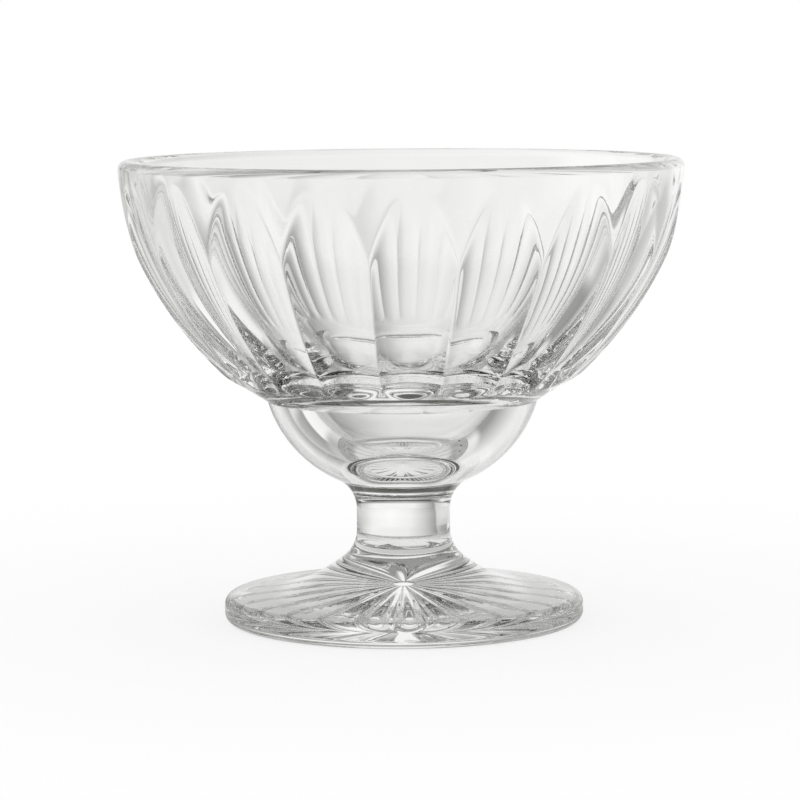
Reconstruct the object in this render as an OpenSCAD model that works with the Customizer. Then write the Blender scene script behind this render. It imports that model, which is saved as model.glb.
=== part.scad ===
// Low footed dessert glass of pressed clear glass: a fluted bowl on a round lower cup, a short stem and a foot
// with rays pressed into its underside. Millimetres, +Z up, origin at the middle of the face the foot stands on.

/* [Overall] */
// Which piece to build
// Height of the bowl, from its joint with the lower cup to the top of the rim
bowl_height = 47.1; // [40:0.1:56]
// Outer radius of the bowl at its rim
rim_radius = 55; // [52:0.5:60]
// Outer radius of the foot
foot_radius = 35.3; // [30:0.1:42]

/* [Bowl] */
// Thickness of the bowl wall at the rim, where the lip is rounded over
rim_wall = 3.3; // [2.4:0.1:4]
// Lean of the wall at the lip, from upright
rim_lean = 3; // [0:0.5:8]
// Angle below level at which the upper curve of the bowl's outside hands over to the lower one
curve_change = 25.5; // [22:0.5:30]
// Radius of the lower curve as a share of the upper one
curve_share = 0.567; // [0.5:0.005:0.65]
// Outer radius of the joint with the lower cup, the crease under the bowl
seat_radius = 26.5; // [25:0.1:28]
// Width of the plain sloping ring between the crease and the flutes, along its slope
ring_width = 5.95; // [4:0.05:7]
// Slope of that ring, above level
ring_lean = 32.2; // [30:0.1:34]
// Radius of the inside's upper curve, as a share of the one that would keep the wall even
inside_share = 0.743; // [0.7:0.001:0.9]
// Height of the bowl's inner shoulder above the joint
shoulder_rise = 4.5; // [3:0.1:6]
// Rounding of the inner shoulder
shoulder_round = 4; // [2:0.1:5]

/* [Bowl flutes] */
// Number of flutes round the bowl
flute_count = 20; // [16:1:24]
// Plain band between the rim and the tops of the flutes
flute_drop = 3; // [2.5:0.5:8]
// Height of the flutes' lower ends above the plain ring
flute_rise = 0.3; // [0.1:0.1:2]
// Depth of a flute at the middle of its length
flute_depth = 2.4; // [1.2:0.1:2.8]
// Radius of a flute's hollow, across it
flute_round = 30; // [20:1:45]

/* [Lower cup] */
// Radius of the cup's outer curve
cup_curve = 24.5; // [23:0.1:27]
// Angle below level of the cup's curve at the joint with the bowl
cup_lean = 16; // [12:0.5:20]
// Thickness of the cup's wall and floor
cup_wall = 7.4; // [5:0.1:9]

/* [Stem] */
// Radius of the stem
stem_radius = 9.2; // [8:0.05:10.5]
// Length of the stem's straight middle
stem_length = 4.13; // [2:0.01:12]
// Radius of the hollow that eases the stem into the cup
stem_top_fillet = 6.6; // [4:0.1:8]
// Radius of the hollow that eases the stem into the foot
stem_foot_fillet = 6.8; // [5:0.1:8]

/* [Foot] */
// Angle below level at which the stem's hollow hands over to the foot's upper curve
foot_spread = 40; // [36:1:44]
// Radius of the foot's upper curve
foot_curve = 29; // [26:0.5:34]
// Fall of the foot's outer slope, below level
foot_slope = 7.5; // [5:0.5:10]
// Height of the foot's edge, where its outer slope would meet its side
edge_height = 4.9; // [4:0.05:7]
// Rounding of the foot's upper edge
foot_top_round = 1.8; // [1:0.1:2]
// Rounding of the foot's lower edge
foot_low_round = 1.85; // [1:0.05:2]

/* [Foot rays] */
// Number of rays under the foot
ray_count = 24; // [18:1:30]
// Width of the ring the foot stands on, outside the rays
ray_margin = 4.1; // [3.2:0.1:7]
// Width of the flat land between two rays at their outer ends
ray_land = 1.2; // [0.8:0.1:2]
// Depth of a ray at the middle of its rounded end
ray_depth = 1.3; // [0.6:0.1:1.8]
// Radius of the plain middle, where the rays begin
ray_hub = 1.6; // [1.2:0.1:3]

/* [Hidden] */
$fn = 180;
overrun = 1;
reach = 4 * bowl_height;
// How far curves that meet smoothly run into each other, so that no step is left between them
blend = 0.002;
// How far a flute's cutter swings, as a share of the turn between the flute's two ends
swing_share = 1.4;

// Foot: a hollow curve, then a straight slope out to the edge
slope_up = [sin(foot_slope), cos(foot_slope)];
spread_way = [sin(foot_spread), cos(foot_spread)];
ankle_radius = stem_radius + stem_foot_fillet * (1 - spread_way.x);
slope_start_radius = ankle_radius + foot_curve * (spread_way.x - slope_up.x);
slope_start = [slope_start_radius, edge_height + (foot_radius - slope_start_radius) * tan(foot_slope)];
foot_mid = slope_start + foot_curve * slope_up;
ankle_point = foot_mid - foot_curve * spread_way;
edge_mid = [foot_radius - foot_top_round,
            edge_height + foot_top_round * tan(foot_slope) - foot_top_round / cos(foot_slope)];
sole_mid = [foot_radius - foot_low_round, foot_low_round];

// Stem: its hollows touch the foot's curve below and the cup's curve above
ankle_mid = ankle_point + stem_foot_fillet * spread_way;
neck_mid = [stem_radius + stem_top_fillet, ankle_mid.y + stem_length];

// Lower cup: one curve outside and one inside, round the same middle, which stands on the stem's hollow
cup_mid_radius = seat_radius - cup_curve * cos(cup_lean);
cup_mid = [cup_mid_radius, neck_mid.y + leg(cup_curve + stem_top_fillet, neck_mid.x - cup_mid_radius)];
neck_point = cup_mid + (neck_mid - cup_mid) * cup_curve / (cup_curve + stem_top_fillet);
seat_point = cup_mid + cup_curve * [cos(cup_lean), -sin(cup_lean)];
well_curve = cup_curve - cup_wall;
shoulder_height = seat_point.y + shoulder_rise;
total_height = seat_point.y + bowl_height;
shoulder_point = [cup_mid.x + leg(well_curve, cup_mid.y - shoulder_height), shoulder_height];

// Bowl outside: a rounded lip, two curves that meet smoothly and a plain ring down to the joint
change_way = [cos(curve_change), -sin(curve_change)];
lean_way = [cos(rim_lean), -sin(rim_lean)];
lip_radius = rim_wall / 2;
lip_mid = [rim_radius - lip_radius * lean_way.x, total_height - lip_radius];
lip_edge = lip_mid + lip_radius * lean_way;
ring_point = seat_point + ring_width * [cos(ring_lean), sin(ring_lean)];
upper_curve = curve_between(ring_point - lip_edge, lean_way - (1 - curve_share) * change_way);
upper_mid = lip_edge - upper_curve * lean_way;
lower_curve = curve_share * upper_curve;
lower_mid = upper_mid + (upper_curve - lower_curve) * change_way;

// Bowl inside: a tighter upper curve, so that the wall thickens downward, and a lower curve to the shoulder
inner_upper_curve = (upper_curve - rim_wall) * inside_share;
inner_upper_mid = lip_mid - (inner_upper_curve + lip_radius) * lean_way;
inner_lower_curve = joining_radius(shoulder_point - inner_upper_mid, inner_upper_curve);
inner_lower_mid = inner_upper_mid + (inner_upper_curve - inner_lower_curve) * change_way;
shoulder_mid = outer_touch(inner_lower_mid, inner_lower_curve + shoulder_round,
                           cup_mid, well_curve + shoulder_round);

// Flutes: each follows an arc through its two ends, flute_depth under the bowl's outside at the middle
flute_top_height = total_height - flute_drop;
flute_low_height = ring_point.y + flute_rise;
flute_top = [upper_mid.x + leg(upper_curve, upper_mid.y - flute_top_height), flute_top_height];
flute_low = [lower_mid.x + leg(lower_curve, lower_mid.y - flute_low_height), flute_low_height];
flute_middle = (flute_top + flute_low) / 2;
flute_half = norm(flute_top - flute_low) / 2;
flute_way = [flute_top.y - flute_low.y, flute_low.x - flute_top.x] / (2 * flute_half);
middle_gap = flute_middle - lower_mid;
flute_bulge = leg_along(middle_gap, flute_way, lower_curve) - flute_depth;
flute_path = (flute_half * flute_half + flute_bulge * flute_bulge) / (2 * flute_bulge);
flute_mid = flute_middle - (flute_path - flute_bulge) * flute_way;
flute_turn = atan2(flute_way.y, flute_way.x);
flute_swing = swing_share * asin(flute_half / flute_path);

// Rays: cones with a ball end, dipping outward, with a narrow flat land left between neighbours
ray_reach = foot_radius - ray_margin;
ray_half_angle = 180 / ray_count - asin(ray_land / (2 * ray_reach));
ray_ratio = ray_depth / ray_reach;
ray_cone_slope = (pow(tan(ray_half_angle), 2) / ray_ratio + ray_ratio) / 2;
ray_dip_slope = ray_cone_slope - ray_ratio;
ray_cone = atan(ray_cone_slope);
ray_dip = atan(ray_dip_slope);
ray_ball_share = sqrt(pow(sin(ray_cone), 2) - pow(sin(ray_dip), 2));
ray_ball_place = ray_reach / (cos(ray_dip) + ray_ball_share);
ray_ball = ray_ball_place * sin(ray_cone);
ray_touch = ray_ball_place * cos(ray_cone) * [sin(ray_cone), cos(ray_cone)];
ray_start = ray_hub * [ray_cone_slope, 1];

function leg(long_side, other) = sqrt(long_side * long_side - other * other);
function leg_along(gap, way, radius) =
    let (along = gap * way) -along + sqrt(along * along + radius * radius - gap * gap);
// Radius of an upper curve that starts at the lip and hands over to a lower one that ends a gap away from it
function curve_between(gap, turn) =
    let (along = gap * turn, spread = turn * turn - curve_share * curve_share)
    (-along - sqrt(along * along - spread * (gap * gap))) / spread;
// Radius of a lower curve that ends a gap away from the middle of the upper one
function joining_radius(gap, first) =
    let (along = gap * change_way)
    (gap * gap - 2 * first * along + first * first) / (2 * (first - along));
// The point at one radius from one middle and another radius from a second
function outer_touch(mid_a, radius_a, mid_b, radius_b) =
    let (gap = mid_b - mid_a, span = norm(gap), way = gap / span,
         share = (radius_a * radius_a - radius_b * radius_b + span * span) / (2 * span))
    mid_a + share * way + leg(radius_a, share) * [-way.y, way.x];

// All that lies above, or below, a line through a point in the section
module above(point, turn) {
    translate(point) rotate(turn) translate([-reach, 0]) square([2 * reach, reach]);
}

module below(point, turn) {
    translate(point) rotate(turn) translate([-reach, -reach]) square([2 * reach, reach]);
}

// The section inside the upper curve and, below their meeting line, the lower curve too
module curve_pair(first, first_mid, second, second_mid) {
    intersection() {
        translate(first_mid) circle(first);
        union() {
            above(first_mid, -curve_change);
            translate(second_mid) circle(second + blend);
        }
    }
}

// A circle of the lower cup, closed across the axis
module cup_round(radius) {
    translate(cup_mid) circle(radius);
    translate([0, cup_mid.y - radius]) square([cup_mid.x, radius]);
}

// What a rounded edge leaves off a corner, seen from the middle of its rounding
module corner_waste(mid, radius, way_a, way_b, corner) {
    difference() {
        polygon([mid, mid + (radius + overrun) * way_a, corner, mid + (radius + overrun) * way_b]);
        translate(mid) circle(radius + blend);
    }
}

// The part of a section on the outer side of the axis, between two heights
module band(low, high) {
    intersection() {
        children();
        translate([0, low]) square([reach, high - low]);
    }
}

module flute_cutter() {
    translate([flute_mid.x, 0, flute_mid.y])
        rotate([90, 0, 0])
            rotate([0, 0, flute_turn - flute_swing])
                rotate_extrude(angle = 2 * flute_swing)
                    translate([flute_path + flute_round, 0])
                        circle(flute_round);
}

module bowl_section() {
    to_bowl = (inner_lower_mid - shoulder_mid) / norm(inner_lower_mid - shoulder_mid);
    to_well = (cup_mid - shoulder_mid) / norm(cup_mid - shoulder_mid);
    shoulder_corner = shoulder_point + overrun * (to_bowl + to_well);
    translate(lip_mid) circle(lip_radius + blend);
    band(seat_point.y, total_height)
        difference() {
            union() {
                intersection() {
                    curve_pair(upper_curve, upper_mid, lower_curve, lower_mid);
                    below(upper_mid, -rim_lean);
                }
                polygon([seat_point, ring_point, lower_mid, [0, lower_mid.y], [0, seat_point.y]]);
            }
            curve_pair(inner_upper_curve, inner_upper_mid, inner_lower_curve, inner_lower_mid);
            cup_round(well_curve);
            corner_waste(shoulder_mid, shoulder_round, to_bowl, to_well, shoulder_corner);
        }
}

module bowl() {
    color("#cfd8d6")
        difference() {
            rotate([0, 0, 90 / flute_count]) rotate_extrude() bowl_section();
            for (i = [0 : flute_count - 1])
                rotate([0, 0, i * 360 / flute_count - 90]) flute_cutter();
        }
}

module cup() {
    color("#aebfc4")
        rotate_extrude()
            band(neck_point.y, seat_point.y)
                difference() {
                    cup_round(cup_curve);
                    cup_round(well_curve);
                }
}

module stem() {
    color("#93a9b5")
        rotate_extrude()
            difference() {
                union() {
                    translate([0, ankle_point.y]) square([ankle_mid.x, ankle_mid.y - ankle_point.y]);
                    translate([0, ankle_mid.y]) square([stem_radius, stem_length]);
                    translate([0, neck_mid.y]) square([neck_mid.x, neck_point.y - neck_mid.y]);
                }
                translate(neck_mid) circle(stem_top_fillet + blend);
                translate(ankle_mid) circle(stem_foot_fillet + blend);
            }
}

module foot_section() {
    top_corner = [foot_radius, edge_height] + overrun * [1, 1];
    low_corner = [foot_radius + overrun, -overrun];
    difference() {
        square([foot_radius, ankle_point.y]);
        translate(foot_mid) circle(foot_curve + blend);
        translate(slope_start) rotate(-foot_slope) square([reach, reach]);
        corner_waste(edge_mid, foot_top_round, [1, 0], slope_up, top_corner);
        corner_waste(sole_mid, foot_low_round, [1, 0], [0, -1], low_corner);
    }
}

module ray_cutter() {
    rotate([0, 90 + ray_dip, 0])
        rotate_extrude()
            band(0, reach) {
                polygon([ray_start, ray_touch, [0, ray_touch.y], [0, ray_start.y]]);
                translate([0, ray_ball_place]) circle(ray_ball);
            }
}

module foot() {
    color("#b9c6bd")
        difference() {
            rotate([0, 0, 90 / ray_count]) rotate_extrude() foot_section();
            for (i = [0 : ray_count - 1])
                rotate([0, 0, i * 360 / ray_count - 90]) ray_cutter();
        }
}

bowl();
cup();
stem();
foot();
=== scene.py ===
"""Looks of the footed dessert glass: four pieces of clear glass, fused into one body, on a white floor."""
import math

import bpy
import numpy as np
from mathutils import Matrix

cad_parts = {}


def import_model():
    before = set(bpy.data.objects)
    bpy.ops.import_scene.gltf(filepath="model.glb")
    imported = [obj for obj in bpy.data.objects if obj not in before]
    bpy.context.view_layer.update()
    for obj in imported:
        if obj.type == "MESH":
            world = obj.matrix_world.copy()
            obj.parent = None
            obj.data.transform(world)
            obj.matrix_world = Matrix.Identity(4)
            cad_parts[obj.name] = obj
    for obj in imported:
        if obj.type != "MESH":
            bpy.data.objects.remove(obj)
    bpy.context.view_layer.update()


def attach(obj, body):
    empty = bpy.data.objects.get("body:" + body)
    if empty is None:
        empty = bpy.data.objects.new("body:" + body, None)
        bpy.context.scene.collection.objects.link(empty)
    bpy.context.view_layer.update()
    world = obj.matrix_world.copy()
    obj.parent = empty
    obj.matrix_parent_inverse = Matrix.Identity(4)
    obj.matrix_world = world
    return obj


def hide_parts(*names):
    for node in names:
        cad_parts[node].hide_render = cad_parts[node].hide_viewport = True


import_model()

MM = 0.001

# Sizes of the glass in millimetres, the same as in the part's source
BOWL_HEIGHT = 47.1
RIM_RADIUS = 55.0
FOOT_RADIUS = 35.3
RIM_WALL = 3.3
RIM_LEAN = math.radians(3)
CURVE_CHANGE = math.radians(25.5)
CURVE_SHARE = 0.567
SEAT_RADIUS = 26.5
RING_WIDTH = 5.95
RING_LEAN = math.radians(32.2)
INSIDE_SHARE = 0.743
SHOULDER_RISE = 4.5
SHOULDER_ROUND = 4.0
FLUTES = 20
FLUTE_DROP = 3.0
FLUTE_RISE = 0.3
FLUTE_DEPTH = 2.4
FLUTE_ROUND = 30.0
CUP_CURVE = 24.5
CUP_LEAN = math.radians(16)
CUP_WALL = 7.4
STEM_RADIUS = 9.2
STEM_LENGTH = 4.13
TOP_FILLET = 6.6
FOOT_FILLET = 6.8
FOOT_SPREAD = math.radians(40)
FOOT_CURVE = 29.0
FOOT_SLOPE = math.radians(7.5)
EDGE_HEIGHT = 4.9
TOP_ROUND = 1.8
LOW_ROUND = 1.85
RAYS = 24
RAY_MARGIN = 4.1
RAY_LAND = 1.2
RAY_DEPTH = 1.3
RAY_HUB = 1.6

# How bright the studio looks in the glass, by degrees from straight behind it: a white sheet under and over
# eye level, with a sharp edge on the left, then walls and ceiling
SHEET_LOW = [(-180, 0.85), (-90, 0.9), (-45, 0.75), (-31, 0.7), (-28.4, 0.65), (-28, 0.3), (-21, 0.48),
             (-13, 0.7), (-3, 0.93), (12, 1.0), (30, 0.95), (45, 0.75), (60, 0.65), (85, 0.7), (120, 0.85)]
SHEET_HIGH = [(-180, 0.1), (-160, 0.0), (-110, 0.0), (-95, 0.9), (-50, 1.0), (-32, 0.7), (-28.4, 0.62),
              (-28, 0.3), (-18, 0.6), (-6, 0.95), (30, 1.0), (45, 0.7), (75, 0.4), (90, 0.0), (165, 0.0)]
WALLS = [(-180, 0.15), (-160, 0.15), (-150, 0.0), (-115, 0.0), (-80, 0.6), (-40, 0.2), (0, 0.5), (40, 0.3),
         (60, 0.0), (165, 0.0)]
CEILING = [(-180, 0.06)]

# Each of them takes over between two climbs of the light's way, from -1, straight down, to 1, straight up
ROOM = [(-1, -1, SHEET_LOW), (-0.02, 0.03, SHEET_HIGH), (0.25, 0.45, WALLS), (0.6, 0.8, CEILING)]

# The colour of what is dark, dim, half bright and bright, in the room's light and in the floor's painted
# light and shade
ROOM_COLOURS = [(0.0, (0.95, 1.0, 0.75)), (0.2, (0.99, 1.0, 0.94)), (0.5, (1.0, 1.0, 0.99)),
                (1.0, (1.0, 1.0, 1.0))]

# The floor's painted light and shade, seen only in the glass, where the floor glows with it, given in the
# same way: under the stem, under the foot, beside it, near it and past it
UNDER_STEM = [(-180, 0.6), (0, 0.85)]
UNDER_FOOT = [(-180, 0.55), (-90, 0.45), (0, 0.3), (90, 0.45)]
BESIDE_FOOT = [(-180, 0.05), (-110, 0.1), (-85, 0.8), (-60, 0.5), (0, 0.6), (50, 0.8), (70, 0.88), (85, 0.5),
               (120, 0.1)]
NEAR_FOOT = [(-180, 0.3), (-105, 0.4), (-85, 0.9), (-56, 1.0), (-53, 0.3), (-38, 0.38), (-28.4, 0.55),
             (-28, 0.28), (-21, 0.43), (-13, 0.63), (0, 0.88), (30, 0.92), (45, 0.68), (58, 0.5), (72, 0.3),
             (90, 0.33), (115, 0.3)]
FAR_FLOOR = [(-180, 0.88), (-100, 0.9), (-80, 0.85), (-60, 0.72), (-40, 0.76), (-28.4, 0.66), (-28, 0.32),
             (-21, 0.45), (-13, 0.66), (-3, 0.9), (12, 1.0), (29, 0.92), (42, 0.72), (53, 0.62), (72, 0.5),
             (90, 0.8), (120, 0.88)]

# Each of them takes over between two radii in metres
# Bands of painted light and shade on the floor, seen only in the glass
PAINTED_FLOOR_BANDS = [(0, 0, UNDER_STEM), (0.02, 0.026, UNDER_FOOT), (0.036, 0.039, BESIDE_FOOT),
         (0.045, 0.055, NEAR_FOOT), (0.1, 0.14, FAR_FLOOR)]

# The floor: its matt white, and how much plain white lies over that to the eye, the rest taking the shadow.
# In metres, the radii where it fades out to the eye and in the glass, and how far under the glass it lies.
# Then the rows and columns of its mesh
FLOOR_WHITE = 0.97
FLOOR_SEEN = 0.8
FLOOR_FADE = (0.09, 0.24)
FLOOR_REACH = (0.5, 1.1)
FLOOR_GAP = 2e-5
FLOOR_ROWS = 24
FLOOR_COLUMNS = 96

# The glass: how strongly it bends light, its waves and ripples, with heights in metres and counts in a metre,
# and the ends of its uneven tint
GLASS_BEND = 1.52
WAVE_HEIGHT = 4e-5
WAVE_COUNT = 90.0
RIPPLE_HEIGHT = 1.5e-6
RIPPLE_COUNT = 420.0
GLASS_TINTS = [(0.984, 0.988, 0.978, 1), (0.991, 0.993, 0.988, 1)]

# How softly pressed edges are rounded over, as a height in millimetres
RIDGE_SOFT = 0.1
RAY_SOFT = 0.2

# How far apart the rows of a surface lie, in millimetres
RING_STEP = 0.16
WALL_STEP = 0.7
ARCH_STEP = 0.2
BRIM_STEP = 0.8
LIP_STEP = 0.22
INSIDE_STEP = 1.2
INSIDE_LOW_STEP = 1.0
SHOULDER_STEP = 0.12
SIDE_STEP = 0.5
PLAIN_STEP = 0.6
FILLET_STEP = 0.25
SLOPE_STEP = 0.8
EDGE_STEP = 0.15

# Columns of a plain surface, and those of half a flute, on each side of its edge. The edge is looked for in
# samples, kept between two shares of half the pitch and evened over some rows. Near the arches rows are close
PLAIN_COLUMNS = 360
FLUTE_COLUMNS = (13, 8)
EDGE_SAMPLES = 180
EDGE_SHARES = (0.2, 0.86)
EDGE_EVENED = 5
ARCH_SPAN = math.radians(2.0)

# A flute's depth is found in some rounds and kept under a limit. SMALL is the step that slopes are taken over
CUT_ROUNDS = 6
CUT_LIMIT = 8
SMALL = 1e-3

# Columns of half a ray, inside it and over its edge, with the shares that they reach to and start from
RAY_COLUMNS = (8, 9)
RAY_INSIDE = 0.88
RAY_BACK = -0.6

# Innermost rows of the sole and of the well, in millimetres
SOLE_CENTRE = 0.3
WELL_CENTRE = 0.2

# The sole, in millimetres: where its rows grow wider apart, and how far they stay close beside an edge. Then
# the slopes of its hub and of a ray past its end, and the share of the rounding that is taken off it, so that
# the sole ends flat
SOLE_CHANGE = 24
SOLE_SPAN = 0.4
HUB_RISE = 2
RAY_FALL = 4
SOFT_TAIL = math.exp(-4)

# The camera: focal length and picture in pixels, film in millimetres, place in metres and turns in radians
FOCAL_LENGTH = 3335
PICTURE_WIDTH = 800
FILM_WIDTH = 36
CAMERA_DISTANCE = 0.650
CAMERA_HEIGHT = 0.1157
CAMERA_ACROSS = -0.000528
CAMERA_PITCH = 0.111
CAMERA_ROLL = -0.007
CAMERA_TURN = math.radians(2.4)
CAMERA_NEAR = 0.01
CAMERA_FAR = 20

# How often light may bend or bounce on its way through the flutes
BOUNCES = 40


def way(angle):
    """The unit vector at an angle from the radial direction, in a section."""
    return np.array([math.cos(angle), math.sin(angle)])


def angle_of(point, middle):
    """The angle at which a section's point lies round a middle."""
    return math.atan2(point[1] - middle[1], point[0] - middle[0])


def leg(long_side, other):
    """The third side of a triangle with a right angle."""
    return math.sqrt(long_side * long_side - other * other)


def curve_between(gap, turn):
    """Radius of an upper curve from the lip, when the lower curve after it ends a gap away from the lip."""
    along = gap @ turn
    spread = turn @ turn - CURVE_SHARE**2
    return (-along - math.sqrt(along * along - spread * (gap @ gap))) / spread


def joining_radius(gap, first):
    """Radius of a lower curve that ends a gap away from the middle of the upper one."""
    along = gap @ CHANGE_WAY
    return (gap @ gap - 2 * first * along + first * first) / (2 * (first - along))


def outer_touch(mid_a, radius_a, mid_b, radius_b):
    """The point at one radius from one middle and another radius from a second."""
    gap = mid_b - mid_a
    span = math.hypot(*gap)
    ahead = gap / span
    share = (radius_a**2 - radius_b**2 + span**2) / (2 * span)
    return mid_a + share * ahead + leg(radius_a, share) * np.array([-ahead[1], ahead[0]])


# Foot and stem, from the table up
SLOPE_UP = np.array([math.sin(FOOT_SLOPE), math.cos(FOOT_SLOPE)])
SPREAD_WAY = np.array([math.sin(FOOT_SPREAD), math.cos(FOOT_SPREAD)])
SLOPE_X = STEM_RADIUS + FOOT_FILLET * (1 - SPREAD_WAY[0]) + FOOT_CURVE * (SPREAD_WAY[0] - SLOPE_UP[0])
SLOPE_START = np.array([SLOPE_X, EDGE_HEIGHT + (FOOT_RADIUS - SLOPE_X) * math.tan(FOOT_SLOPE)])
FOOT_MID = SLOPE_START + FOOT_CURVE * SLOPE_UP
ANKLE = FOOT_MID - FOOT_CURVE * SPREAD_WAY
ANKLE_MID = ANKLE + FOOT_FILLET * SPREAD_WAY
NECK_MID = np.array([STEM_RADIUS + TOP_FILLET, ANKLE_MID[1] + STEM_LENGTH])
EDGE_MID = np.array([FOOT_RADIUS - TOP_ROUND,
                     EDGE_HEIGHT + TOP_ROUND * math.tan(FOOT_SLOPE) - TOP_ROUND / math.cos(FOOT_SLOPE)])
SOLE_MID = np.array([FOOT_RADIUS - LOW_ROUND, LOW_ROUND])

# Lower cup: outside and inside are round the same middle
CUP_X = SEAT_RADIUS - CUP_CURVE * math.cos(CUP_LEAN)
CUP_MID = np.array([CUP_X, NECK_MID[1] + leg(CUP_CURVE + TOP_FILLET, NECK_MID[0] - CUP_X)])
NECK = CUP_MID + (NECK_MID - CUP_MID) * CUP_CURVE / (CUP_CURVE + TOP_FILLET)
SEAT = CUP_MID + CUP_CURVE * way(-CUP_LEAN)
WELL_CURVE = CUP_CURVE - CUP_WALL
HEIGHT = SEAT[1] + BOWL_HEIGHT
WELL_EDGE = np.array([CUP_X + leg(WELL_CURVE, CUP_MID[1] - SEAT[1]), SEAT[1]])
SHOULDER_Z = SEAT[1] + SHOULDER_RISE
SHOULDER = np.array([CUP_X + leg(WELL_CURVE, CUP_MID[1] - SHOULDER_Z), SHOULDER_Z])

# Bowl: a rounded lip, two curves that meet smoothly and a plain ring, and inside two more curves
CHANGE_WAY = way(-CURVE_CHANGE)
LEAN_WAY = way(-RIM_LEAN)
LIP = RIM_WALL / 2
LIP_MID = np.array([RIM_RADIUS - LIP * LEAN_WAY[0], HEIGHT - LIP])
LIP_EDGE = LIP_MID + LIP * LEAN_WAY
RING = SEAT + RING_WIDTH * way(RING_LEAN)
UPPER_CURVE = curve_between(RING - LIP_EDGE, LEAN_WAY - (1 - CURVE_SHARE) * CHANGE_WAY)
UPPER_MID = LIP_EDGE - UPPER_CURVE * LEAN_WAY
LOWER_CURVE = CURVE_SHARE * UPPER_CURVE
LOWER_MID = UPPER_MID + (UPPER_CURVE - LOWER_CURVE) * CHANGE_WAY
INNER_UPPER = (UPPER_CURVE - RIM_WALL) * INSIDE_SHARE
INNER_UPPER_MID = LIP_MID - (INNER_UPPER + LIP) * LEAN_WAY
INNER_LOWER = joining_radius(SHOULDER - INNER_UPPER_MID, INNER_UPPER)
INNER_MID = INNER_UPPER_MID + (INNER_UPPER - INNER_LOWER) * CHANGE_WAY
SHOULDER_MID = outer_touch(INNER_MID, INNER_LOWER + SHOULDER_ROUND, CUP_MID, WELL_CURVE + SHOULDER_ROUND)

# Flutes: round cutters whose middles follow an arc in the section
FLUTE_TOP_Z = HEIGHT - FLUTE_DROP
FLUTE_LOW_Z = RING[1] + FLUTE_RISE
FLUTE_TOP = np.array([UPPER_MID[0] + leg(UPPER_CURVE, UPPER_MID[1] - FLUTE_TOP_Z), FLUTE_TOP_Z])
FLUTE_LOW = np.array([LOWER_MID[0] + leg(LOWER_CURVE, LOWER_MID[1] - FLUTE_LOW_Z), FLUTE_LOW_Z])
FLUTE_HALF = math.hypot(*(FLUTE_TOP - FLUTE_LOW)) / 2
FLUTE_WAY = np.array([FLUTE_TOP[1] - FLUTE_LOW[1], FLUTE_LOW[0] - FLUTE_TOP[0]]) / (2 * FLUTE_HALF)
MIDDLE_GAP = (FLUTE_TOP + FLUTE_LOW) / 2 - LOWER_MID
GAP_ALONG = MIDDLE_GAP @ FLUTE_WAY
BULGE = -GAP_ALONG + math.sqrt(GAP_ALONG**2 + LOWER_CURVE**2 - MIDDLE_GAP @ MIDDLE_GAP) - FLUTE_DEPTH
FLUTE_PATH = (FLUTE_HALF**2 + BULGE**2) / (2 * BULGE)
FLUTE_MID = (FLUTE_TOP + FLUTE_LOW) / 2 - (FLUTE_PATH - BULGE) * FLUTE_WAY

# Rays: cones with ball ends that dip outward under the sole
RAY_REACH = FOOT_RADIUS - RAY_MARGIN
RAY_HALF = math.pi / RAYS - math.asin(RAY_LAND / (2 * RAY_REACH))
RAY_RATIO = RAY_DEPTH / RAY_REACH
RAY_CONE = math.atan((math.tan(RAY_HALF)**2 / RAY_RATIO + RAY_RATIO) / 2)
RAY_DIP = math.atan(math.tan(RAY_CONE) - RAY_RATIO)
RAY_PLACE = RAY_REACH / (math.cos(RAY_DIP) + math.sqrt(math.sin(RAY_CONE)**2 - math.sin(RAY_DIP)**2))
RAY_BALL = RAY_PLACE * math.sin(RAY_CONE)


def arc(middle, radius, start, end, pitch, side):
    """Rows of a section along an arc: points and outward normals. side is 1 with the glass inside the arc."""
    count = max(2, math.ceil(abs(end - start) * radius / pitch))
    angles = np.linspace(start, end, count + 1)
    ways = np.stack([np.cos(angles), np.sin(angles)], 1)
    return middle + radius * ways, side * ways


def line(start, end, pitch, normal):
    """Rows of a section along a straight line."""
    count = max(1, math.ceil(math.hypot(*(end - start)) / pitch))
    shares = np.linspace(0, 1, count + 1)[:, None]
    return start + shares * (end - start), np.tile(normal, (count + 1, 1))


def chain(*runs):
    """Joins runs of rows into one, without the doubled points."""
    points, normals = runs[0]
    for more_points, more_normals in runs[1:]:
        points = np.concatenate([points, more_points[1:]])
        normals = np.concatenate([normals, more_normals[1:]])
    return points, normals


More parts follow.
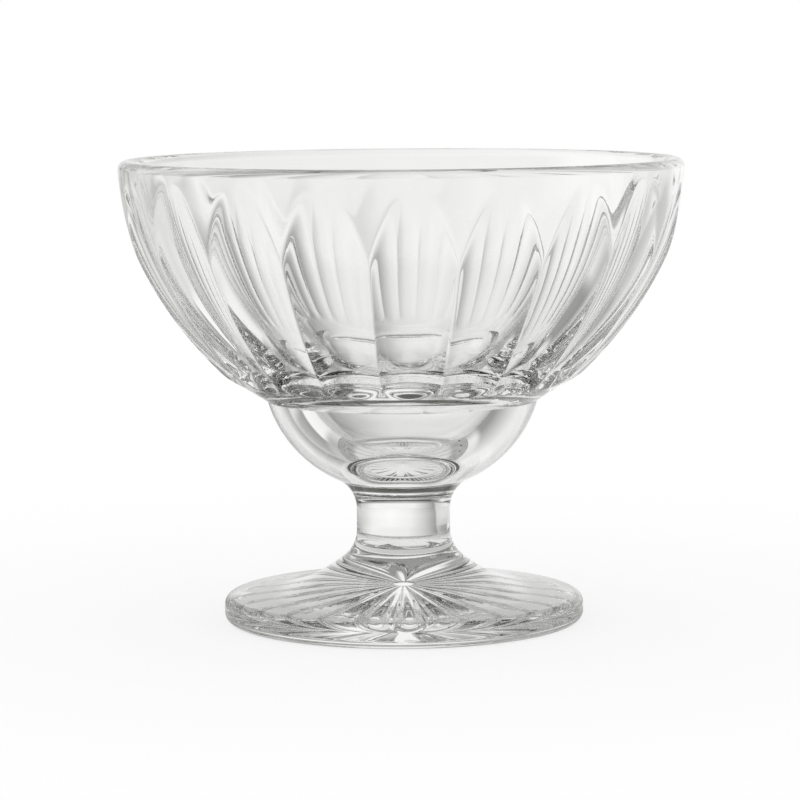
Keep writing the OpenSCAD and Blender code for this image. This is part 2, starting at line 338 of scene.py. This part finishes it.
def build(name, rings, normals, first_cap, last_cap, joints, node):
    """A closed mesh from rings of points (rows, columns, xyz).

    A cap is a middle point, or None for rows that close on each other. joints names the closing faces that
    lie inside the glass: "first", "last" or "ring".
    """
    rows, columns, _ = rings.shape
    points = rings.reshape(-1, 3)
    vectors = normals.reshape(-1, 3)
    index = np.arange(rows * columns).reshape(rows, columns)
    right = np.roll(index, -1, axis=1)
    quads = np.stack([index[:-1], right[:-1], right[1:], index[1:]], -1).reshape(-1, 4)
    hidden = np.zeros(len(quads), int)
    faces = quads.tolist()
    if first_cap is None:
        ring = np.stack([index[-1], right[-1], right[0], index[0]], -1)
        faces += ring.tolist()
        hidden = np.concatenate([hidden, np.full(len(ring), int("ring" in joints))])
    else:
        for cap, row, flip, label in ((first_cap, 0, True, "first"), (last_cap, -1, False, "last")):
            points = np.concatenate([points, [cap]])
            vectors = np.concatenate([vectors, [[0, 0, -1.0 if flip else 1.0]]])
            middle = len(points) - 1
            pair = (right[row], index[row]) if flip else (index[row], right[row])
            fan = np.stack([pair[0], pair[1], np.full(columns, middle)], -1)
            faces += fan.tolist()
            hidden = np.concatenate([hidden, np.full(columns, int(label in joints))])
    mesh = bpy.data.meshes.new(name)
    mesh.from_pydata((points * MM).tolist(), [], faces)
    mesh.materials.append(GLASS)
    mesh.materials.append(SEAM)
    mesh.polygons.foreach_set("material_index", hidden)
    mesh.polygons.foreach_set("use_smooth", np.ones(len(faces), bool))
    mesh.validate()
    mesh.normals_split_custom_set_from_vertices(vectors.tolist())
    mesh.update()
    piece = bpy.data.objects.new(name, mesh)
    bpy.context.scene.collection.objects.link(piece)
    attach(piece, "root")
    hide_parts(node)
    return piece


def revolve(points, normals, azimuths):
    """Rings of a surface of revolution and their normals."""
    cos, sin = np.cos(azimuths)[None, :], np.sin(azimuths)[None, :]

    def turned(section):
        x, z = section[:, :1], section[:, 1:]
        return np.stack([x * cos, x * sin, z + 0 * cos], -1)

    return turned(points), turned(normals)


def soft_max(values, softness):
    """The largest of some values, rounded over where two of them meet."""
    values = np.broadcast_arrays(*values)
    peak = np.maximum.reduce(values)
    return peak + softness * np.log(sum(np.exp((v - peak) / softness) for v in values))


def flute_cut(points, normals, turns):
    """How far in from the bowl's outside the surface of one flute lies, at turns from the flute's middle."""
    depth = np.zeros(np.broadcast_shapes(turns.shape, points[:, :1].shape))
    for _ in range(CUT_ROUNDS):
        r = points[:, :1] - depth * normals[:, :1]
        z = points[:, 1:] - depth * normals[:, 1:]
        x, y = r * np.cos(turns), r * np.sin(turns)
        out = np.hypot(x - FLUTE_MID[0], z - FLUTE_MID[1]) - FLUTE_PATH - FLUTE_ROUND
        depth = np.clip(depth + FLUTE_ROUND - np.hypot(out, y), -CUT_LIMIT, CUT_LIMIT)
    return depth


def fluted(points, normals, turns):
    """Rings of the bowl's outside, at turns from the nearest flute's middle (rows, columns)."""
    pitch = 2 * math.pi / FLUTES
    cuts = [flute_cut(points, normals, turns + k * pitch) for k in (-1, 0, 1)]
    return soft_max([np.zeros_like(cuts[0])] + cuts, RIDGE_SOFT)


def ring_points(points, normals, depth, azimuths):
    """Rings that lie a depth inside a section."""
    r = points[:, :1] - depth * normals[:, :1]
    z = points[:, 1:] - depth * normals[:, 1:]
    return np.stack([r * np.cos(azimuths), r * np.sin(azimuths), z], -1)


def facing(along_row, along_column, outward):
    """Unit normals from two directions on a surface, turned to the outside."""
    n = np.cross(along_row, along_column)
    n /= np.linalg.norm(n, axis=-1, keepdims=True)
    return n * np.sign((n * outward).sum(-1, keepdims=True))


def bowl():
    """Rings and normals of the bowl, up its outside and down its inside."""
    ring_angle = angle_of(RING, LOWER_MID)
    low_angle = angle_of(FLUTE_LOW, LOWER_MID)
    top_angle = angle_of(FLUTE_TOP, UPPER_MID)
    outer = chain(
        line(SEAT, RING, RING_STEP, np.array([math.sin(RING_LEAN), -math.cos(RING_LEAN)])),
        arc(LOWER_MID, LOWER_CURVE, ring_angle, low_angle + ARCH_SPAN, RING_STEP, 1),
        arc(LOWER_MID, LOWER_CURVE, low_angle + ARCH_SPAN, -CURVE_CHANGE, WALL_STEP, 1),
        arc(UPPER_MID, UPPER_CURVE, -CURVE_CHANGE, top_angle - ARCH_SPAN, WALL_STEP, 1),
        arc(UPPER_MID, UPPER_CURVE, top_angle - ARCH_SPAN, top_angle + ARCH_SPAN / 2, ARCH_STEP, 1),
        arc(UPPER_MID, UPPER_CURVE, top_angle + ARCH_SPAN / 2, -RIM_LEAN, BRIM_STEP, 1))
    shoulder_from = angle_of(SHOULDER_MID, INNER_MID)
    shoulder_to = angle_of(SHOULDER_MID, CUP_MID)
    inner = chain(
        arc(LIP_MID, LIP, -RIM_LEAN, math.pi - RIM_LEAN, LIP_STEP, 1),
        arc(INNER_UPPER_MID, INNER_UPPER, -RIM_LEAN, -CURVE_CHANGE, INSIDE_STEP, -1),
        arc(INNER_MID, INNER_LOWER, -CURVE_CHANGE, shoulder_from, INSIDE_LOW_STEP, -1),
        arc(SHOULDER_MID, SHOULDER_ROUND, shoulder_from + math.pi, shoulder_to + math.pi, SHOULDER_STEP, 1),
        arc(CUP_MID, WELL_CURVE, shoulder_to, angle_of(WELL_EDGE, CUP_MID), SIDE_STEP, -1))
    points, normals = outer
    half_pitch = math.pi / FLUTES
    steps = np.linspace(0, half_pitch, EDGE_SAMPLES + 1)[None, :]
    inside = flute_cut(points, normals, steps) > 0
    least, greatest = EDGE_SHARES
    edge = np.clip(inside.sum(1) / EDGE_SAMPLES * half_pitch, least * half_pitch, greatest * half_pitch)
    evened = np.ones(EDGE_EVENED) / EDGE_EVENED
    edge = np.convolve(np.pad(edge, EDGE_EVENED // 2, mode="edge"), evened, mode="valid")[:, None]
    in_shares = np.linspace(0, 1, FLUTE_COLUMNS[0])
    out_shares = np.linspace(0, 1, FLUTE_COLUMNS[1])[1:]
    half = np.concatenate([edge * in_shares, edge + (half_pitch - edge) * out_shares], 1)
    turns = np.concatenate([-half[:, :0:-1], half[:, :-1]], 1)
    centres = np.arange(FLUTES) * 2 * half_pitch - math.pi / 2
    azimuths = (centres[None, :, None] + turns[:, None, :]).reshape(len(points), -1)
    all_turns = np.tile(turns, (1, FLUTES))
    depth = fluted(points, normals, all_turns)
    rings = ring_points(points, normals, depth, azimuths)
    swung = ring_points(points, normals, fluted(points, normals, all_turns + SMALL), azimuths + SMALL)
    tangents = np.stack([-normals[:, 1], normals[:, 0]], 1)
    tilted_normals = normals * math.cos(SMALL) + tangents * math.sin(SMALL)
    change_z = (UPPER_MID + UPPER_CURVE * CHANGE_WAY)[1]
    radii = np.where(points[:, 1] < change_z, LOWER_CURVE, UPPER_CURVE)[:, None]
    tilted_points = points + radii * (tilted_normals - normals)
    tilted_depth = fluted(tilted_points, tilted_normals, all_turns)
    climbed = ring_points(tilted_points, tilted_normals, tilted_depth, azimuths)
    outward = np.stack([normals[:, :1] * np.cos(azimuths), normals[:, :1] * np.sin(azimuths),
                        normals[:, 1:] + 0 * azimuths], -1)
    ring_normals = facing(swung - rings, climbed - rings, outward)
    inner_rings, inner_normals = revolve(inner[0][1:], inner[1][1:], azimuths[-1])
    return np.concatenate([rings, inner_rings]), np.concatenate([ring_normals, inner_normals])


def cup():
    """Sections of the cup's outside, from the neck up, and of its inside, from the bowl down."""
    floor_z = CUP_MID[1] - WELL_CURVE
    outside = arc(CUP_MID, CUP_CURVE, angle_of(NECK, CUP_MID), -CUP_LEAN, SIDE_STEP, 1)
    well = arc(CUP_MID, WELL_CURVE, angle_of(WELL_EDGE, CUP_MID), -math.pi / 2, SIDE_STEP, -1)
    flat = line(np.array([CUP_MID[0], floor_z]), np.array([WELL_CENTRE, floor_z]), PLAIN_STEP,
                np.array([0.0, 1.0]))
    return outside, chain(well, flat)


def stem():
    """Section of the stem, from the foot up."""
    return chain(
        arc(ANKLE_MID, FOOT_FILLET, angle_of(ANKLE, ANKLE_MID), -math.pi, FILLET_STEP, -1),
        line(ANKLE_MID - [FOOT_FILLET, 0], NECK_MID - [TOP_FILLET, 0], PLAIN_STEP, np.array([1.0, 0.0])),
        arc(NECK_MID, TOP_FILLET, math.pi, angle_of(NECK, NECK_MID), FILLET_STEP, -1))


def ray_height(radius, turns):
    """Height of the rays' surface over the sole, below zero outside a ray."""
    x, y = radius * np.cos(turns), radius * np.sin(turns)
    cos_dip, sin_dip, cos_cone = math.cos(RAY_DIP), math.sin(RAY_DIP), math.cos(RAY_CONE)
    a = sin_dip**2 - cos_cone**2
    b = -2 * x * cos_dip * sin_dip
    c = (x * cos_dip)**2 - (x * x + y * y) * cos_cone**2
    cone = (-b - np.sqrt(np.maximum(b * b - 4 * a * c, 0))) / (2 * a)
    mid_x, mid_z = RAY_PLACE * cos_dip, -RAY_PLACE * sin_dip
    square = RAY_BALL**2 - (x - mid_x)**2 - y * y
    ball = mid_z + np.where(square > 0, np.sqrt(np.maximum(square, 0)), RAY_FALL * square / RAY_BALL)
    touch = RAY_PLACE * cos_cone**2
    past = x * cos_dip - cone * sin_dip > touch
    return np.where(past, ball, cone)


def sole(radius, turns):
    """Height of the sole, with its rays and hub."""
    hub = (radius - RAY_HUB) * HUB_RISE
    low = -soft_max([-ray_height(radius, turns), -hub], RAY_SOFT)
    return np.maximum(soft_max([low, np.zeros_like(low)], RAY_SOFT) - RAY_SOFT * SOFT_TAIL, 0)


def foot():
    """Rings and normals of the foot, from the middle of its sole round its edge and up."""
    top = chain(
        arc(FOOT_MID, FOOT_CURVE, angle_of(ANKLE, FOOT_MID), angle_of(SLOPE_START, FOOT_MID), PLAIN_STEP, -1),
        line(SLOPE_START, EDGE_MID + TOP_ROUND * SLOPE_UP, SLOPE_STEP, SLOPE_UP),
        arc(EDGE_MID, TOP_ROUND, math.pi / 2 - FOOT_SLOPE, 0, EDGE_STEP, 1),
        line(EDGE_MID + [TOP_ROUND, 0], SOLE_MID + [LOW_ROUND, 0], SIDE_STEP, np.array([1.0, 0.0])),
        arc(SOLE_MID, LOW_ROUND, 0, -math.pi / 2, EDGE_STEP, 1))
    half_pitch = math.pi / RAYS
    inside = np.linspace(0, RAY_INSIDE * RAY_HALF, RAY_COLUMNS[0])
    over_edge = RAY_HALF + (half_pitch - RAY_HALF) * np.linspace(RAY_BACK, 1, RAY_COLUMNS[1])
    half = np.concatenate([inside, over_edge])
    turns = np.concatenate([-half[:0:-1], half[:-1]])
    centres = np.arange(RAYS) * 2 * half_pitch - math.pi / 2
    azimuths = (centres[:, None] + turns[None, :]).ravel()
    all_turns = np.tile(turns, RAYS)[None, :]
    top_rings, top_normals = revolve(top[0], top[1], azimuths)
    stops = [(SOLE_MID[0], 1), (RAY_REACH + SOLE_SPAN, 4), (SOLE_CHANGE, 40), (RAY_HUB + SOLE_SPAN, 30),
             (RAY_HUB - SOLE_SPAN, 8), (SOLE_CENTRE, 3)]
    runs = [np.linspace(start, end, count)[1:] for (start, _), (end, count) in zip(stops, stops[1:])]
    radii = np.concatenate(runs)[:, None]

    def spots_at(radius, swing):
        around_middle = azimuths + swing
        return np.stack([radius * np.cos(around_middle), radius * np.sin(around_middle),
                         sole(radius, all_turns + swing)], -1)

    spots = spots_at(radii, 0)
    along_row, along_column = spots_at(radii, SMALL) - spots, spots_at(radii + SMALL, 0) - spots
    sole_normals = facing(along_row, along_column, np.array([0, 0, -1.0]))
    return np.concatenate([top_rings, spots])[::-1], np.concatenate([top_normals, sole_normals])[::-1]


def add(tree, kind, inputs=None, **settings):
    """A new node. Each of its inputs is a value, or the socket that feeds it."""
    made = tree.nodes.new(kind)
    for key, value in settings.items():
        setattr(made, key, value)
    for key, value in (inputs or {}).items():
        if isinstance(value, bpy.types.NodeSocket):
            tree.links.new(value, made.inputs[key])
        else:
            made.inputs[key].default_value = value
    return made


def glass_material():
    """Clear pressed glass: faintly wavy from the mould, finely rippled, its slight tint a little uneven."""
    material = bpy.data.materials.new("clear_glass")
    material.use_nodes = True
    tree = material.node_tree
    shader = tree.nodes["Principled BSDF"]
    shader.inputs["Roughness"].default_value = 0.0
    shader.inputs["IOR"].default_value = GLASS_BEND
    shader.inputs["Transmission Weight"].default_value = 1.0
    place = add(tree, "ShaderNodeTexCoord").outputs["Object"]
    waves = add(tree, "ShaderNodeTexNoise", {"Vector": place, "Scale": WAVE_COUNT, "Detail": 1.0})
    ripples = add(tree, "ShaderNodeTexNoise", {"Vector": place, "Scale": RIPPLE_COUNT, "Detail": 1.0})
    waves, ripples = waves.outputs["Fac"], ripples.outputs["Fac"]
    wavy = add(tree, "ShaderNodeBump", {"Height": waves, "Strength": 1.0, "Distance": WAVE_HEIGHT})
    rippled = add(tree, "ShaderNodeBump", {"Height": ripples, "Strength": 1.0, "Distance": RIPPLE_HEIGHT,
                                           "Normal": wavy.outputs["Normal"]})
    tree.links.new(rippled.outputs["Normal"], shader.inputs["Normal"])
    tint = add(tree, "ShaderNodeValToRGB", {"Fac": waves})
    for element, colour in zip(tint.color_ramp.elements, GLASS_TINTS):
        element.color = colour
    tree.links.new(tint.outputs["Color"], shader.inputs["Base Color"])
    return material


def seam_material():
    """Faces inside the glass, where two of its named pieces are one: nothing is seen of them."""
    material = bpy.data.materials.new("fused_seam")
    material.use_nodes = True
    nodes, links = material.node_tree.nodes, material.node_tree.links
    nodes.remove(nodes["Principled BSDF"])
    clear = nodes.new("ShaderNodeBsdfTransparent")
    links.new(clear.outputs["BSDF"], nodes["Material Output"].inputs["Surface"])
    return material


GLASS = glass_material()
SEAM = seam_material()

rings, ring_normals = bowl()
build("bowl_glass", rings, ring_normals, None, None, ("ring",), "bowl")

# The cup's outside and inside meet in the ring face under the bowl, which lies inside the glass too
cup_outer, cup_inner = cup()
azimuths = np.linspace(0, 2 * math.pi, PLAIN_COLUMNS + 1)[:-1]
cup_points = np.concatenate([cup_outer[0], cup_inner[0]])
cup_normals = np.concatenate([cup_outer[1], cup_inner[1]])
rings, ring_normals = revolve(cup_points, cup_normals, azimuths)
well_floor = (0, 0, CUP_MID[1] - WELL_CURVE)
cup_piece = build("cup_glass", rings, ring_normals, (0, 0, NECK[1]), well_floor, ("first",), "cup")
ring_start = (len(cup_outer[0]) - 1) * PLAIN_COLUMNS
ring_faces = np.zeros(len(cup_piece.data.polygons), int)
cup_piece.data.polygons.foreach_get("material_index", ring_faces)
ring_faces[ring_start:ring_start + PLAIN_COLUMNS] = 1
cup_piece.data.polygons.foreach_set("material_index", ring_faces)

stem_points, stem_normals = stem()
rings, ring_normals = revolve(stem_points, stem_normals, azimuths)
build("stem_glass", rings, ring_normals, (0, 0, ANKLE[1]), (0, 0, NECK[1]), ("first", "last"), "stem")

rings, ring_normals = foot()
build("foot_glass", rings, ring_normals, (0, 0, 0), (0, 0, ANKLE[1]), ("last",), "foot")


def blend(tree, factor, first, second):
    """A value between two others."""
    return add(tree, "ShaderNodeMix", {"Factor": factor, "A": first, "B": second}).outputs["Result"]


def most(tree, first, second):
    """The larger of two values."""
    return add(tree, "ShaderNodeMath", {0: first, 1: second}, operation="MAXIMUM").outputs[0]


def rise(tree, value, low, high):
    """Goes smoothly from 0 at the low value to 1 at the high one."""
    return add(tree, "ShaderNodeMapRange", {"Value": value, "From Min": low, "From Max": high},
               interpolation_type="SMOOTHSTEP").outputs[0]


def shades(tree, share, stops):
    """A colour that changes along a share from 0 to 1."""
    ramp = add(tree, "ShaderNodeValToRGB", {"Fac": share})
    elements = ramp.color_ramp.elements
    while len(elements) < len(stops):
        elements.new(0.5)
    while len(elements) > len(stops):
        elements.remove(elements[-1])
    for element, (place, colour) in zip(elements, stops):
        element.position = place
        element.color = (*colour, 1)
    return ramp.outputs["Color"]


def around(tree, place, stops):
    """A brightness that changes round the glass: stops are in degrees from straight behind it, from -180."""
    closed = stops + [(180, stops[0][1])]
    colours = [((degrees + 180) / 360, (value, value, value)) for degrees, value in closed]
    split = add(tree, "ShaderNodeSeparateXYZ", {0: place})
    turn = add(tree, "ShaderNodeMath", {0: split.outputs["X"], 1: split.outputs["Y"]}, operation="ARCTAN2")
    share = add(tree, "ShaderNodeMapRange",
                {"Value": turn.outputs[0], "From Min": -math.pi, "From Max": math.pi})
    return shades(tree, share.outputs[0], colours)


def banded(tree, place, value, bands):
    """Brightness round the glass that changes from band to band as a value rises."""
    tone = around(tree, place, bands[0][2])
    for start, end, stops in bands[1:]:
        tone = blend(tree, rise(tree, value, start, end), tone, around(tree, place, stops))
    return tone


def world():
    """The studio: white to the eye, and in the glass a white sheet behind it in a darker room."""
    scene_world = bpy.data.worlds.new("studio")
    bpy.context.scene.world = scene_world
    scene_world.use_nodes = True
    scene_world.cycles.sampling_method = "NONE"
    tree = scene_world.node_tree
    way_out = add(tree, "ShaderNodeTexCoord").outputs["Generated"]
    climb = add(tree, "ShaderNodeSeparateXYZ", {0: way_out}).outputs["Z"]
    room = banded(tree, way_out, climb, ROOM)
    path = add(tree, "ShaderNodeLightPath").outputs
    seen = most(tree, path["Is Camera Ray"], path["Is Diffuse Ray"])
    strength = blend(tree, seen, room, 1.0)
    tree.links.new(strength, tree.nodes["Background"].inputs["Strength"])
    tree.links.new(shades(tree, strength, ROOM_COLOURS), tree.nodes["Background"].inputs["Color"])


def floor():
    """A white floor under the glass that fades into the white surroundings; in the glass it glows with
    painted light and shade.
    """
    radii = np.linspace(0, FLOOR_REACH[1], FLOOR_ROWS + 1)[1:]
    angles = np.linspace(0, 2 * math.pi, FLOOR_COLUMNS + 1)[:-1]
    points = [(0, 0, 0)] + [(r * math.cos(a), r * math.sin(a), 0) for r in radii for a in angles]
    columns = [(k, (k + 1) % FLOOR_COLUMNS) for k in range(FLOOR_COLUMNS)]
    faces = [(0, 1 + this, 1 + after) for this, after in columns]
    for row in range(FLOOR_ROWS - 1):
        low, high = 1 + row * FLOOR_COLUMNS, 1 + (row + 1) * FLOOR_COLUMNS
        faces += [(low + this, high + this, high + after, low + after) for this, after in columns]
    mesh = bpy.data.meshes.new("floor")
    mesh.from_pydata(points, [], faces)
    piece = bpy.data.objects.new("floor", mesh)
    piece.location.z = -FLOOR_GAP
    bpy.context.scene.collection.objects.link(piece)
    material = bpy.data.materials.new("white_floor_with_painted_light")
    material.use_nodes = True
    tree = material.node_tree
    matt = tree.nodes["Principled BSDF"]
    matt.inputs["Base Color"].default_value = (FLOOR_WHITE, FLOOR_WHITE, FLOOR_WHITE, 1)
    matt.inputs["Roughness"].default_value = 1.0
    matt.inputs["Specular IOR Level"].default_value = 0.0
    place = add(tree, "ShaderNodeTexCoord").outputs["Object"]
    radius = add(tree, "ShaderNodeVectorMath", {0: place}, operation="LENGTH").outputs["Value"]
    # Painted light and shade on the floor, by radius and round the glass, seen only in the glass
    painted_floor_light = banded(tree, place, radius, PAINTED_FLOOR_BANDS)
    path = add(tree, "ShaderNodeLightPath").outputs
    in_glass = most(tree, path["Is Glossy Ray"], path["Is Transmission Ray"])
    strength = blend(tree, in_glass, 1.0, painted_floor_light)
    colour = shades(tree, strength, ROOM_COLOURS)
    # An emission: plain white of strength 1 to the eye, and glowing with the floor's painted light and shade
    # in the glass
    white = add(tree, "ShaderNodeEmission", {"Strength": strength, "Color": colour})
    to_eye = blend(tree, path["Is Camera Ray"], 0.0, FLOOR_SEEN)
    lit = add(tree, "ShaderNodeMixShader", {0: most(tree, to_eye, in_glass), 1: matt.outputs["BSDF"],
                                            2: white.outputs["Emission"]})
    clear = add(tree, "ShaderNodeBsdfTransparent")
    fade = blend(tree, in_glass, rise(tree, radius, *FLOOR_FADE), rise(tree, radius, *FLOOR_REACH))
    ground = add(tree, "ShaderNodeMixShader", {0: fade, 1: lit.outputs[0], 2: clear.outputs["BSDF"]})
    tree.links.new(ground.outputs[0], tree.nodes["Material Output"].inputs["Surface"])
    mesh.materials.append(material)


def camera():
    """The photograph's view, found from the outline of the glass."""
    data = bpy.data.cameras.new("camera")
    data.sensor_width = FILM_WIDTH
    data.lens = FOCAL_LENGTH / PICTURE_WIDTH * FILM_WIDTH
    data.clip_start = CAMERA_NEAR
    data.clip_end = CAMERA_FAR
    eye = bpy.data.objects.new("camera", data)
    place = Matrix.Translation((CAMERA_ACROSS, -CAMERA_DISTANCE, CAMERA_HEIGHT))
    tilt = Matrix.Rotation(math.pi / 2 - CAMERA_PITCH, 4, "X") @ Matrix.Rotation(CAMERA_ROLL, 4, "Z")
    eye.matrix_world = Matrix.Rotation(-CAMERA_TURN, 4, "Z") @ place @ tilt
    bpy.context.scene.collection.objects.link(eye)
    bpy.context.scene.camera = eye


cycles = bpy.context.scene.cycles
cycles.max_bounces = BOUNCES
cycles.transmission_bounces = BOUNCES
cycles.glossy_bounces = BOUNCES
cycles.transparent_max_bounces = BOUNCES
world()
floor()
camera()
bpy.context.scene.view_settings.view_transform = "Standard"
